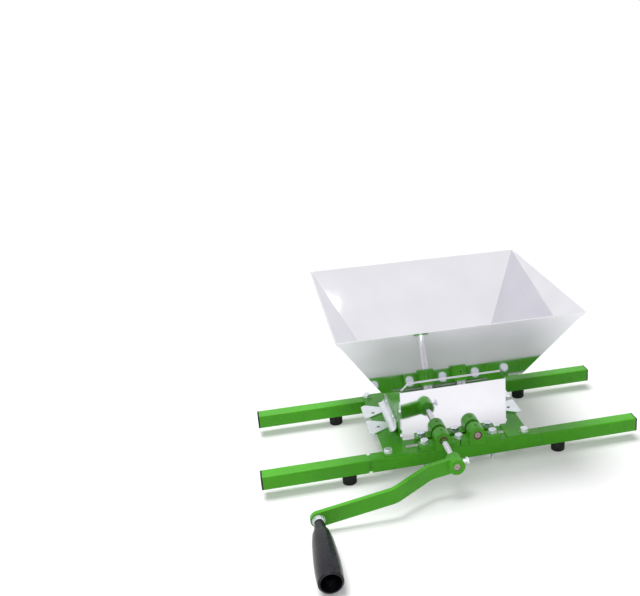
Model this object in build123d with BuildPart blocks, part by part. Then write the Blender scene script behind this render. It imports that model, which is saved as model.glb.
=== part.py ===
from build123d import *
from math import atan, cos, degrees, pi, radians, sin, sqrt, tan
import os

# Hand-cranked apple scratter: a steel hopper over two toothed rollers, on two telescopic rails.
# +X runs along the rails, -Y is the crank side, +Z is up. The origin is on the ground, under the
# middle of the roller box. All sizes are in millimetres.

os.makedirs("parts", exist_ok=True)

# ---------------------------------------------------------------- rails
foot_height = 17.5
foot_diameter = 25.0
foot_stem_diameter = 8.0
foot_head_diameter = 12.0
foot_head_height = 3.0
foot_round = 1.0  # softening of the foot's edges
foot_inset = 32.5  # from the end tube's inner end to the middle of the foot
rail_width = 25.0
rail_wall = 2.0
rail_corner = 2.5
bore_corner = 1.0  # inside the rail's tubes
rail_span = 246.0  # over the outer faces of the two rails
centre_tube_length = 300.0
end_tube_length = 174.5
joint_gap = 0.5
pulled_gap = 6.0  # the front left end stands pulled out a little
end_travel = 36.0
sleeve_wall = 1.6
sleeve_corner = 1.0
sleeve_in_centre = 80.0
sleeve_in_end = 44.0
slide_clearance = 0.3
slot_width = 10.0
cap_flange = 3.0
cap_plug = 12.0
cap_clearance = 0.1
cap_wall = 2.0
cap_chamfer = 0.8

# ---------------------------------------------------------------- side frames
frame_sheet = 3.0
box_width = 181.0  # over the outer faces of the side walls
box_depth = 194.0  # over the outer faces of the front and rear covers
hopper_seat_height = 149.5
cross_plate_width = 40.0
cross_plate_setback = 2.0  # from the rails' outer faces
seat_flange_width = 29.0
frame_bolt_inset = 7.5  # from the cross plate's outer edge
plate_corner = 4.0

# ---------------------------------------------------------------- covers
cover_sheet = 1.5
cover_flange = 12.0
cover_clearance = 0.2
cover_lip_length = 24.6
cover_lip_taper = 13.0  # what each end of the lip loses on its way up
cover_shaft_hole = 24.0
cover_screw_heights = (62.0, 109.0)
cover_screw_diameter = 4.0
cover_screw_setback = 6.5  # from the flange's free edge
flange_relief = 2.0  # between a flange's top and the lip's bend

# ---------------------------------------------------------------- hopper
hopper_sheet = 1.2
hopper_mouth_width = 400.0
hopper_mouth_depth = 373.0
hopper_rim_height = 283.5
hopper_foot_width = 244.0
hopper_foot_depth = 196.0
hopper_throat_depth = 180.0
hem_height = 8.0  # of the rim's hem, folded down over the outside
hem_reach = 1.5  # how far the hem stands out from the wall, measured level
hopper_screw_diameter = 5.0
hopper_screw_spread = 140.0
hopper_screw_inset = 12.0  # from the seat flange's outer edge
hopper_screw_reach = 7.0  # below the seat
hopper_screw_head_diameter = 9.0
hopper_screw_head_height = 2.8
hopper_screw_head_round = 1.4
hopper_nut_across = 8.0
hopper_nut_height = 4.0

# ---------------------------------------------------------------- guide plates
guide_sheet = 1.5
guide_tab_height = 20.0
guide_lower_height = 77.5
guide_clearance = 3.0  # between a guide plate's lower edge and the roller
guide_end_gap = 1.0
guide_screw_diameter = 4.0
guide_screw_spread = 120.0

# ---------------------------------------------------------------- ear brackets
ear_sheet = 2.5
ear_bend = 10.0
ear_leg_height = 21.0
ear_middle_y = 14.0
bracket_length = 120.0
ear_neck_reach = 105.0  # from the middle of the box to where an ear starts to widen
ear_shoulder_reach = 131.0
ear_reach = 139.0
ear_neck_near = 20.0  # these four are measured along Y from the bracket's middle
ear_neck_far = 41.0
ear_tip_near = 6.0
ear_tip_far = 57.0
ear_corner = 5.0
ear_hole_diameter = 6.5
ear_hole_x = 121.0
ear_hole_rows = (-20.0, 36.0)
rivet_diameter = 4.0
rivet_spacing = 64.0
rivet_head_diameter = 7.5
rivet_head_height = 1.8
rivet_tail = 1.5  # of a rivet, inside the wall

# ---------------------------------------------------------------- shafts and bearings
shaft_diameter = 12.0
shaft_spacing = 60.0
shaft_offset = 2.5  # the pair of shafts sits a little right of the box's middle
shaft_rise = 17.5  # from the rail's top to the shafts
shaft_recess = 1.0
shaft_chamfer = 0.8
centre_mark = 3.0
drive_front_reach = 218.0  # from the middle of the box to the hub's front face
bore_clearance = 0.05
bush_diameter = 16.0
bush_recess = 0.5
spacer_diameter = 20.0
spacer_gap = 0.3
block_foot_height = 10.0
block_foot_depth = 21.5  # along the shaft, from the dome's inner face outwards
block_foot_end = 10.0  # beyond the outer bolt
block_split = 2.0  # slit between neighbouring blocks, under their shared bolt
block_bolt_spacing = 60.0
block_bolt_offset = 3.0  # the shared middle bolt sits a little right of the box's middle
dome_diameter = 28.0
dome_depth = 26.0
dome_shift = 3.5  # from the rail's middle outwards to the dome's middle
dome_edge = 1.2
grease_hole = 4.0
grub_diameter = 5.0
grub_sink = 1.0  # below the boss's top
grub_socket = 2.6
grub_socket_depth = 2.0

# ---------------------------------------------------------------- rollers
roller_length = 180.0
roller_core_diameter = 44.0
roller_tip_diameter = 66.0
roller_root_diameter = 50.0
roller_pitch = 24.0
roller_disc_width = 11.0
roller_teeth = 8
roller_twist = 15.0  # turn from one disc to the next, in degrees
roller_pin_diameter = 5.0
roller_pin_inset = 6.0
roller_pin_sink = 1.0  # of a pin's ends, below the core's surface
tooth_crest = 0.22  # where a tooth's crest ends, as a share of the pitch
tooth_back = 0.55  # where a tooth's back reaches the root, as a share of the pitch

# ---------------------------------------------------------------- gears
gear_teeth = 20
gear_width = 12.0
gear_gap = 0.3  # between a gear and the dome before it
gear_pressure_angle = 20.0
gear_backlash = 0.4
gear_tip_relief = 0.25
gear_boss_diameter = 24.0
gear_boss_length = 10.0
flank_points = 5

# ---------------------------------------------------------------- crank
crank_radius = 229.5
crank_droop = 9.1  # rest angle below the level, in degrees
hub_diameter = 27.0
hub_length = 28.0
hub_chamfer = 0.8
arm_width = 25.0
arm_thickness = 8.0
arm_setback = 12.5  # from the hub's front face to the middle of the arm
arm_offset = 34.0  # how far the arm's outer part stands in front of its root
arm_bend_start = 44.0
arm_bend_end = 107.5
arm_bend_radius = 30.0
weld_gap = 0.05
spindle_diameter = 8.0
spindle_nut_height = 5.0
spindle_washer_diameter = 20.0
spindle_washer_thickness = 2.0
spindle_hole_clearance = 0.2
spindle_hex_across = 13.0
spindle_head_height = 5.3
spindle_tip = 2.0  # beyond the rear nut
grip_length = 148.0
grip_start_diameter = 15.0
grip_neck_diameter = 21.0
grip_neck_length = 24.0
grip_shoulder_diameter = 26.0
grip_shoulder_at = 29.0
grip_middle_diameter = 35.0
grip_middle_at = 72.0
grip_belly_diameter = 38.5
grip_belly_at = 118.0
grip_end_diameter = 36.5
grip_hollow_diameter = 30.0
grip_hollow_depth = 45.0
grip_bore_clearance = 0.3
grip_end_play = 0.4
grip_end_round = 2.0
set_bolt_diameter = 6.0
set_bolt_clear = 4.5  # between the hub and the set bolt's head
set_bolt_across = 10.0
set_bolt_head_height = 4.0

# ---------------------------------------------------------------- bolts and screws
bolt_diameter = 8.0
bolt_head_height = 5.3
bolt_head_across = 13.0
bolt_head_chamfer = 0.6
bolt_tip_chamfer = 0.8
bolt_hole_clearance = 0.4
bolt_tip = 14.0  # of a block bolt, below the rail
frame_bolt_reach = 10.0  # of a frame bolt, below the tube's top wall
washer_diameter = 15.0
washer_thickness = 1.6
screw_clearance = 0.15
pan_head_diameter = 8.0
pan_head_height = 2.4
pan_head_taper = 20.0  # in degrees
screw_tip = 3.0  # of a side screw, inside the wall

cut_margin = 1.0  # how far a cutting shape runs past the face it opens

# ---------------------------------------------------------------- worked out from the above
rail_bottom = foot_height
rail_top = rail_bottom + rail_width
rail_middle = rail_bottom + rail_width / 2
rail_y = rail_span / 2 - rail_width / 2
bore_width = rail_width - 2 * rail_wall
sleeve_width = bore_width - 2 * slide_clearance
plate_top = rail_top + frame_sheet
wall_outer = box_width / 2
wall_inner = wall_outer - frame_sheet
plate_outer = wall_inner + cross_plate_width
frame_bolt_x = plate_outer - frame_bolt_inset
seat_outer = wall_inner + seat_flange_width
axis_height = rail_top + shaft_rise
drive_x = shaft_offset - shaft_spacing / 2
idler_x = shaft_offset + shaft_spacing / 2
hopper_screw_x = seat_outer - hopper_screw_inset
hopper_throat_width = 2 * wall_inner - 2 * hopper_sheet
dome_middle = rail_y + dome_shift
dome_inner = dome_middle - dome_depth / 2
dome_outer = dome_middle + dome_depth / 2
arm_root_y = -(drive_front_reach - arm_setback)
arm_front_y = arm_root_y - arm_offset - arm_thickness / 2
grip_start_y = arm_front_y - spindle_washer_thickness - spindle_nut_height - grip_end_play
block_bolt_rows = [block_bolt_offset + k * block_bolt_spacing for k in (-1, 0, 1)]
hex_ratio = 2 / sqrt(3)


def facing_front(y, x=0.0, z=0.0):
    """Plane across the shafts, at depth y: its local x is +X, its local y is +Z, and it faces -Y."""
    return Plane(origin=(x, y, z), x_dir=(1, 0, 0), z_dir=(0, -1, 0))


def facing_right(x, y=0.0, z=0.0):
    """Plane across the rails, at x: its local x is +Y, its local y is +Z, and it faces +X."""
    return Plane(origin=(x, y, z), x_dir=(0, 1, 0), z_dir=(1, 0, 0))


def finish(piece, label):
    """Name a finished piece and write it to its own file."""
    piece.part.label = label
    export_step(piece.part, f"parts/{label}.step")


def hex_bolts(top, bottom, places):
    """Upright hexagon bolts at the given XY places: heads from top upwards, shanks down to bottom."""
    with BuildPart() as bolts:
        with BuildSketch(Plane.XY.offset(bottom)):
            with Locations(*places):
                Circle(bolt_diameter / 2)
        extrude(amount=top - bottom + bolt_head_height / 2)
        chamfer(bolts.edges().group_by(Axis.Z)[0], bolt_tip_chamfer)
        with BuildSketch(Plane.XY.offset(top)):
            with Locations(*places):
                RegularPolygon(bolt_head_across / 2 * hex_ratio, 6)
        extrude(amount=bolt_head_height)
        chamfer(bolts.edges().group_by(Axis.Z)[-1], bolt_head_chamfer)
    return bolts


# ================================================================ rails
def centre_tube(y):
    """Middle piece of a rail, drilled for the block bolts and the frame bolts."""
    block_bolts = [(x, y) for x in block_bolt_rows]
    frame_bolts = [(-frame_bolt_x, y), (frame_bolt_x, y)]
    with BuildPart() as tube:
        with BuildSketch(facing_right(-centre_tube_length / 2, y, rail_middle)):
            RectangleRounded(rail_width, rail_width, rail_corner)
            RectangleRounded(bore_width, bore_width, bore_corner, mode=Mode.SUBTRACT)
        extrude(amount=centre_tube_length)
        with BuildSketch(Plane.XY.offset(rail_middle)):
            with Locations(*block_bolts, *frame_bolts):
                Circle(bolt_diameter / 2 + bolt_hole_clearance)
        extrude(amount=rail_width, mode=Mode.SUBTRACT)
        with BuildSketch(Plane.XY.offset(rail_middle)):
            with Locations(*block_bolts):
                Circle(bolt_diameter / 2 + screw_clearance)
        extrude(amount=-rail_width, mode=Mode.SUBTRACT)
    return tube


for label, y in (("front_centre_tube", -rail_y), ("rear_centre_tube", rail_y)):
    finish(centre_tube(y), label)


# Every rail end is drawn pointing to the right, then turned about the rail's middle for the left.
def end_plane(side, y, gap):
    """Plane across a rail end, at the inner end of its tube and facing outwards."""
    inner_end = side * (centre_tube_length / 2 + gap)
    return Plane(origin=(inner_end, y, rail_middle), x_dir=(0, side, 0), z_dir=(side, 0, 0))


def end_tube(place, foot_x, y):
    """Outer piece of a rail, with a hole in its floor for the foot's stem."""
    with BuildPart() as tube:
        with BuildSketch(place):
            RectangleRounded(rail_width, rail_width, rail_corner)
            RectangleRounded(bore_width, bore_width, bore_corner, mode=Mode.SUBTRACT)
        extrude(amount=end_tube_length)
        with BuildSketch(Plane(origin=(foot_x, y, rail_middle))):
            Circle(foot_stem_diameter / 2 + screw_clearance)
        extrude(amount=-rail_width, mode=Mode.SUBTRACT)
    return tube


def inner_sleeve(place, foot_x, y, side, gap):
    """Square sleeve fixed in the end tube and sliding in the centre tube, slotted over the frame bolt."""
    slot_inner = frame_bolt_x - end_travel + gap - joint_gap
    slot_outer = frame_bolt_x + gap - joint_gap
    slot_start = side * (slot_inner + slot_outer) / 2
    slot_height = rail_middle + sleeve_width / 2 - sleeve_wall - cut_margin
    with BuildPart() as sleeve:
        with BuildSketch(place.offset(-sleeve_in_centre)):
            RectangleRounded(sleeve_width, sleeve_width, sleeve_corner)
            inside = sleeve_width - 2 * sleeve_wall
            Rectangle(inside, inside, mode=Mode.SUBTRACT)
        extrude(amount=sleeve_in_centre + sleeve_in_end)
        with BuildSketch(Plane(origin=(slot_start, y, slot_height))):
            SlotOverall(slot_outer - slot_inner + slot_width, slot_width)
        extrude(amount=rail_width, mode=Mode.SUBTRACT)
        with BuildSketch(Plane(origin=(foot_x, y, rail_middle))):
            Circle(foot_stem_diameter / 2 + screw_clearance)
        extrude(amount=-rail_width, mode=Mode.SUBTRACT)
    return sleeve


def end_cap(place):
    """Square plug that closes the rail end."""
    plug_width = bore_width - 2 * cap_clearance
    with BuildPart() as cap:
        with BuildSketch(place.offset(end_tube_length)):
            RectangleRounded(rail_width, rail_width, rail_corner)
        extrude(amount=cap_flange)
        chamfer(cap.faces().sort_by(Axis((0, 0, 0), place.z_dir))[-1].edges(), cap_chamfer)
        with BuildSketch(place.offset(end_tube_length - cap_plug)):
            RectangleRounded(plug_width, plug_width, bore_corner)
            Rectangle(plug_width - 2 * cap_wall, plug_width - 2 * cap_wall, mode=Mode.SUBTRACT)
        extrude(amount=cap_plug)
    return cap


def rubber_foot(foot_x, y):
    """Round foot whose stem snaps through the tube and the sleeve."""
    stem_top = rail_middle - sleeve_width / 2 + sleeve_wall + screw_clearance
    foot_radius = foot_diameter / 2
    with BuildPart() as foot:
        with BuildSketch(facing_front(y, foot_x)):
            with BuildLine():
                Polyline(
                    (0, 0),
                    (foot_radius - 1.5 * foot_round, 0),
                    (foot_radius - 0.5 * foot_round, foot_round),
                    (foot_radius, foot_height - foot_round),
                    (foot_radius - foot_round, foot_height),
                    (foot_stem_diameter / 2, foot_height),
                    (foot_stem_diameter / 2, stem_top),
                    (foot_head_diameter / 2, stem_top),
                    (foot_stem_diameter / 4, stem_top + foot_head_height),
                    (0, stem_top + foot_head_height),
                    close=True,
                )
            make_face()
        revolve(axis=Axis((foot_x, y, 0), (0, 0, 1)))
    return foot


rail_ends = (
    ("front_left", -1, -rail_y, pulled_gap),
    ("front_right", 1, -rail_y, joint_gap),
    ("rear_left", -1, rail_y, joint_gap),
    ("rear_right", 1, rail_y, joint_gap),
)
for corner, side, y, gap in rail_ends:
    place = end_plane(side, y, gap)
    foot_x = side * (centre_tube_length / 2 + gap + foot_inset)
    finish(end_tube(place, foot_x, y), f"{corner}_end_tube")
    finish(inner_sleeve(place, foot_x, y, side, gap), f"{corner}_sleeve")
    finish(end_cap(place), f"{corner}_end_cap")
    finish(rubber_foot(foot_x, y), f"{corner}_foot")


# ================================================================ side frames
wall_end = box_depth / 2 - cover_sheet - cover_clearance
guide_screw_z = hopper_seat_height - frame_sheet - guide_tab_height / 2
wall_screw_y = box_depth / 2 - cover_flange + cover_screw_setback
plate_end = rail_span / 2 - cross_plate_setback
rivet_z = plate_top + ear_leg_height - rivet_diameter
rivet_places = [(ear_middle_y + s * rivet_spacing / 2, rivet_z) for s in (-1, 1)]


def side_frame(side):
    """Folded side of the box: cross plate on the rails, upright wall, and seat for the hopper."""
    with BuildPart() as frame:
        with BuildSketch(facing_front(plate_end)):
            with BuildLine():
                Polyline(
                    (side * wall_inner, rail_top),
                    (side * plate_outer, rail_top),
                    (side * plate_outer, plate_top),
                    (side * wall_inner, plate_top),
                    close=True,
                )
            make_face()
        extrude(amount=2 * plate_end)
        with BuildSketch(facing_front(wall_end)):
            with BuildLine():
                Polyline(
                    (side * wall_inner, rail_top),
                    (side * wall_outer, rail_top),
                    (side * wall_outer, hopper_seat_height - frame_sheet),
                    (side * seat_outer, hopper_seat_height - frame_sheet),
                    (side * seat_outer, hopper_seat_height),
                    (side * wall_inner, hopper_seat_height),
                    close=True,
                )
            make_face()
        extrude(amount=2 * wall_end)
        corners = frame.edges().filter_by(Axis.Z)
        corners = corners.filter_by(lambda e: abs(e.center().Y) > wall_end and abs(e.center().X) > wall_outer)
        fillet(corners, plate_corner)
        # bolts to the rails
        with BuildSketch(Plane.XY.offset(rail_top)):
            with Locations((side * frame_bolt_x, -rail_y), (side * frame_bolt_x, rail_y)):
                Circle(bolt_diameter / 2 + bolt_hole_clearance)
            with Locations(*[(side * ear_hole_x, y) for y in ear_hole_rows]):
                Circle(ear_hole_diameter / 2)
        extrude(amount=frame_sheet, mode=Mode.SUBTRACT)
        # hopper screws
        with BuildSketch(Plane.XY.offset(hopper_seat_height - frame_sheet)):
            spread = hopper_screw_spread / 2
            with Locations((side * hopper_screw_x, -spread), (side * hopper_screw_x, spread)):
                Circle(hopper_screw_diameter / 2 + screw_clearance)
        extrude(amount=frame_sheet, mode=Mode.SUBTRACT)
        # screws of the covers and the guide plate, and the bracket's rivets
        with BuildSketch(facing_right(side * (wall_inner + wall_outer) / 2)):
            with Locations(*[(s * wall_screw_y, z) for s in (-1, 1) for z in cover_screw_heights]):
                Circle(cover_screw_diameter / 2 + screw_clearance)
            with Locations(*[(s * guide_screw_spread / 2, guide_screw_z) for s in (-1, 1)]):
                Circle(guide_screw_diameter / 2 + screw_clearance)
            with Locations(*rivet_places):
                Circle(rivet_diameter / 2 + screw_clearance)
        extrude(amount=frame_sheet, both=True, mode=Mode.SUBTRACT)
    return frame


for label, side in (("left_side_frame", -1), ("right_side_frame", 1)):
    finish(side_frame(side), label)

frame_bolt_places = [(sx * frame_bolt_x, sy * rail_y) for sx in (-1, 1) for sy in (-1, 1)]
frame_bolts = hex_bolts(
    plate_top + washer_thickness, rail_top - rail_wall - frame_bolt_reach, frame_bolt_places
)
finish(frame_bolts, "frame_bolts")


# ================================================================ hopper
wall_mouth_depth = hopper_mouth_depth - 2 * hem_reach
wall_mouth_width = hopper_mouth_width - 2 * hem_reach
wall_run_y = (wall_mouth_depth - hopper_foot_depth) / 2
wall_run_x = (wall_mouth_width - hopper_foot_width) / 2
wall_rise = hopper_rim_height - hopper_seat_height
slope_y = wall_run_y / wall_rise  # how far the front and rear walls lean out, per height
slope_x = wall_run_x / wall_rise
inset_y = hopper_sheet * sqrt(1 + slope_y**2)  # sheet thickness, measured level
inset_x = hopper_sheet * sqrt(1 + slope_x**2)

with BuildPart() as hopper:
    with BuildSketch(Plane.XY.offset(hopper_seat_height)):
        Rectangle(hopper_foot_width, hopper_foot_depth)
    with BuildSketch(Plane.XY.offset(hopper_rim_height)):
        Rectangle(wall_mouth_width, wall_mouth_depth)
    loft(ruled=True)
    # hem, lying flat against the outside of the walls
    with BuildSketch(Plane.XY.offset(hopper_rim_height - hem_height)):
        Rectangle(
            hopper_mouth_width - 2 * slope_x * hem_height,
            hopper_mouth_depth - 2 * slope_y * hem_height,
        )
    with BuildSketch(Plane.XY.offset(hopper_rim_height)):
        Rectangle(hopper_mouth_width, hopper_mouth_depth)
    loft(ruled=True)
    floor_top = hopper_seat_height + hopper_sheet
    with BuildSketch(Plane.XY.offset(floor_top)):
        Rectangle(
            hopper_foot_width + 2 * slope_x * hopper_sheet - 2 * inset_x,
            hopper_foot_depth + 2 * slope_y * hopper_sheet - 2 * inset_y,
        )
    with BuildSketch(Plane.XY.offset(hopper_rim_height)):
        Rectangle(wall_mouth_width - 2 * inset_x, wall_mouth_depth - 2 * inset_y)
    loft(ruled=True, mode=Mode.SUBTRACT)
    with BuildSketch(Plane.XY.offset(hopper_seat_height)):
        Rectangle(hopper_throat_width, hopper_throat_depth)
        with GridLocations(2 * hopper_screw_x, hopper_screw_spread, 2, 2):
            Circle(hopper_screw_diameter / 2 + screw_clearance)
    extrude(amount=hopper_sheet, mode=Mode.SUBTRACT)
finish(hopper, "hopper")

hopper_screw_places = [
    (sx * hopper_screw_x, sy * hopper_screw_spread / 2) for sx in (-1, 1) for sy in (-1, 1)
]
with BuildPart() as hopper_screws:
    shank_bottom = hopper_seat_height - frame_sheet - hopper_screw_reach
    with BuildSketch(Plane.XY.offset(shank_bottom)):
        with Locations(*hopper_screw_places):
            Circle(hopper_screw_diameter / 2)
    extrude(amount=floor_top - shank_bottom)
    with BuildSketch(Plane.XY.offset(floor_top)):
        with Locations(*hopper_screw_places):
            Circle(hopper_screw_head_diameter / 2)
    extrude(amount=hopper_screw_head_height)
    fillet(hopper_screws.edges().group_by(Axis.Z)[-1], hopper_screw_head_round)
finish(hopper_screws, "hopper_screws")

with BuildPart() as hopper_nuts:
    with BuildSketch(Plane.XY.offset(hopper_seat_height - frame_sheet - hopper_nut_height)):
        with Locations(*hopper_screw_places):
            RegularPolygon(hopper_nut_across / 2 * hex_ratio, 6)
            Circle(hopper_screw_diameter / 2 + screw_clearance, mode=Mode.SUBTRACT)
    extrude(amount=hopper_nut_height)
finish(hopper_nuts, "hopper_nuts")


# ================================================================ covers
# A cover is an upright sheet with a lip that leans out along the hopper's wall.
lean = degrees(atan(slope_y))
lip_gap = cover_clearance / cos(radians(lean))
bend_z = hopper_seat_height - (hopper_foot_depth / 2 + lip_gap - box_depth / 2 + cover_sheet) / slope_y
cover_bottom = plate_top + cover_clearance
cover_half = wall_outer + cover_clearance + cover_sheet


def cover(facing):
    """Front (-1) or rear (1) sheet of the box, with folded side flanges and the leaning lip."""
    outer = box_depth / 2
    inner = outer - cover_sheet
    with BuildPart() as sheet:
        with BuildSketch(facing_front(facing * (outer if facing > 0 else inner))):
            with BuildLine():
                Polyline(
                    (-cover_half, cover_bottom),
                    (cover_half, cover_bottom),
                    (cover_half, bend_z),
                    (-cover_half, bend_z),
                    close=True,
                )
            make_face()
            with Locations((drive_x, axis_height), (idler_x, axis_height)):
                Circle(cover_shaft_hole / 2, mode=Mode.SUBTRACT)
        extrude(amount=cover_sheet)
        # folded flanges over the side walls
        with BuildSketch(Plane.XY.offset(cover_bottom)):
            flange_y = facing * (outer - cover_flange / 2)
            for side in (-1, 1):
                with Locations((side * (cover_half - cover_sheet / 2), flange_y)):
                    Rectangle(cover_sheet, cover_flange)
        extrude(amount=bend_z - cover_bottom - flange_relief)
        with BuildSketch(facing_right(-cover_half - cut_margin)):
            with Locations(*[(facing * wall_screw_y, z) for z in cover_screw_heights]):
                Circle(cover_screw_diameter / 2 + screw_clearance)
        extrude(amount=2 * (cover_half + cut_margin), mode=Mode.SUBTRACT)
        # leaning lip, narrower at its top
        lip_normal = (0, facing * cos(radians(lean)), -sin(radians(lean)))
        lip_plane = Plane(
            origin=(0, facing * inner, bend_z),
            x_dir=(1, 0, 0) if facing < 0 else (-1, 0, 0),
            z_dir=lip_normal,
        )
        with BuildSketch(lip_plane):
            with BuildLine():
                Polyline(
                    (-cover_half, 0),
                    (cover_half, 0),
                    (cover_half - cover_lip_taper, cover_lip_length),
                    (-cover_half + cover_lip_taper, cover_lip_length),
                    close=True,
                )
            make_face()
        extrude(amount=cover_sheet)
    return sheet


for label, facing in (("front_cover", -1), ("rear_cover", 1)):
    finish(cover(facing), label)


def side_screws(diameter, head_diameter, head_height, head_face, reach, places):
    """Pan-head screws that go inwards through both side walls: heads outside of head_face."""
    with BuildPart() as screws:
        for side in (-1, 1):
            outward = Plane(origin=(side * (head_face - reach), 0, 0), x_dir=(0, 1, 0), z_dir=(side, 0, 0))
            local = [(y, z * side) for y, z in places]
            with BuildSketch(outward):
                with Locations(*local):
                    Circle(diameter / 2)
            extrude(amount=reach)
            with BuildSketch(outward.offset(reach)):
                with Locations(*local):
                    Circle(head_diameter / 2)
            extrude(amount=head_height, taper=pan_head_taper)
    return screws


cover_screw_places = [(s * wall_screw_y, z) for s in (-1, 1) for z in cover_screw_heights]
cover_screws = side_screws(
    cover_screw_diameter,
    pan_head_diameter,
    pan_head_height,
    cover_half,
    frame_sheet + cover_sheet + screw_tip,
    cover_screw_places,
)
finish(cover_screws, "cover_screws")


# ================================================================ guide plates
def guide_plate(side, shaft_x):
    """Sheet inside the box that leads fruit from the side wall in to the roller."""
    top = hopper_seat_height - frame_sheet
    bend = top - guide_tab_height
    face = wall_inner - screw_clearance
    roller_half = sqrt((roller_tip_diameter / 2) ** 2 - (guide_lower_height - axis_height) ** 2)
    guide_reach = face - abs(shaft_x) - roller_half - guide_clearance
    tilt = atan((bend - guide_lower_height) / guide_reach)
    step = guide_sheet * tan((pi / 2 - tilt) / 2)
    length = 2 * (wall_end - guide_end_gap)
    with BuildPart() as plate:
        with BuildSketch(facing_front(length / 2)):
            with BuildLine():
                Polyline(
                    (side * face, top),
                    (side * face, bend),
                    (side * (face - guide_reach), guide_lower_height),
                    (side * (face - guide_reach - guide_sheet * sin(tilt)), guide_lower_height + step),
                    (side * (face - guide_sheet), bend + step),
                    (side * (face - guide_sheet), top),
                    close=True,
                )
            make_face()
        extrude(amount=length)
        with BuildSketch(facing_right(side * (face - guide_sheet - cut_margin))):
            with Locations(*[(s * guide_screw_spread / 2, guide_screw_z) for s in (-1, 1)]):
                Circle(guide_screw_diameter / 2 + screw_clearance)
        extrude(amount=side * (guide_sheet + 2 * cut_margin), mode=Mode.SUBTRACT)
    return plate


for label, side, shaft_x in (("left_guide_plate", -1, drive_x), ("right_guide_plate", 1, idler_x)):
    finish(guide_plate(side, shaft_x), label)

guide_screw_places = [(s * guide_screw_spread / 2, guide_screw_z) for s in (-1, 1)]
guide_screws = side_screws(
    guide_screw_diameter,
    pan_head_diameter,
    pan_head_height,
    wall_outer + screw_clearance,
    frame_sheet + guide_sheet + screw_tip,
    guide_screw_places,
)
finish(guide_screws, "guide_plate_screws")


# ================================================================ ear brackets
def ear_bracket(side):
    """Sheet bent up against the side wall, with two flared ears that lie on the cross plate."""
    foot = plate_top
    leg_face = wall_outer + screw_clearance
    leg_back = leg_face + ear_sheet
    outer_bend = ear_bend + ear_sheet
    bend_x = leg_face + outer_bend
    leg_top = foot + ear_leg_height
    with BuildPart() as bracket:
        with BuildSketch(facing_front(ear_middle_y + bracket_length / 2)):
            with BuildLine():
                Line((side * ear_reach, foot), (side * bend_x, foot))
                RadiusArc((side * bend_x, foot), (side * leg_face, foot + outer_bend), side * outer_bend)
                Line((side * leg_face, foot + outer_bend), (side * leg_face, leg_top))
                Line((side * leg_face, leg_top), (side * leg_back, leg_top))
                Line((side * leg_back, leg_top), (side * leg_back, foot + outer_bend))
                RadiusArc(
                    (side * leg_back, foot + outer_bend), (side * bend_x, foot + ear_sheet), -side * ear_bend
                )
                Line((side * bend_x, foot + ear_sheet), (side * ear_reach, foot + ear_sheet))
                Line((side * ear_reach, foot + ear_sheet), (side * ear_reach, foot))
            make_face()
        extrude(amount=bracket_length)
        # the sheet between and beside the two flared ears is cut away
        with BuildSketch(Plane.XY.offset(foot)):
            with Locations((side * (ear_neck_reach + ear_reach) / 2, ear_middle_y)):
                Rectangle(ear_reach - ear_neck_reach + cut_margin, bracket_length + cut_margin)
            for hand in (-1, 1):
                with BuildLine():
                    Polyline(
                        (side * (ear_neck_reach - cut_margin), ear_middle_y + hand * ear_neck_near),
                        (side * ear_neck_reach, ear_middle_y + hand * ear_neck_near),
                        (side * ear_shoulder_reach, ear_middle_y + hand * ear_tip_near),
                        (side * ear_reach, ear_middle_y + hand * ear_tip_near),
                        (side * ear_reach, ear_middle_y + hand * (ear_tip_far - ear_corner)),
                        (side * ear_shoulder_reach, ear_middle_y + hand * ear_tip_far),
                        (side * ear_neck_reach, ear_middle_y + hand * ear_neck_far),
                        (side * (ear_neck_reach - cut_margin), ear_middle_y + hand * ear_neck_far),
                        close=True,
                    )
                make_face(mode=Mode.SUBTRACT)
        extrude(amount=ear_sheet, mode=Mode.SUBTRACT)
        with BuildSketch(Plane.XY.offset(foot)):
            with Locations(*[(side * ear_hole_x, y) for y in ear_hole_rows]):
                Circle(ear_hole_diameter / 2)
        extrude(amount=ear_sheet, mode=Mode.SUBTRACT)
        with BuildSketch(facing_right(side * (leg_face - cut_margin))):
            with Locations(*rivet_places):
                Circle(rivet_diameter / 2 + screw_clearance)
        extrude(amount=side * (ear_sheet + 2 * cut_margin), mode=Mode.SUBTRACT)
    return bracket


for label, side in (("left_ear_bracket", -1), ("right_ear_bracket", 1)):
    finish(ear_bracket(side), label)

bracket_rivets = side_screws(
    rivet_diameter,
    rivet_head_diameter,
    rivet_head_height,
    wall_outer + screw_clearance + ear_sheet,
    frame_sheet + ear_sheet + rivet_tail,
    rivet_places,
)
finish(bracket_rivets, "bracket_rivets")


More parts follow.
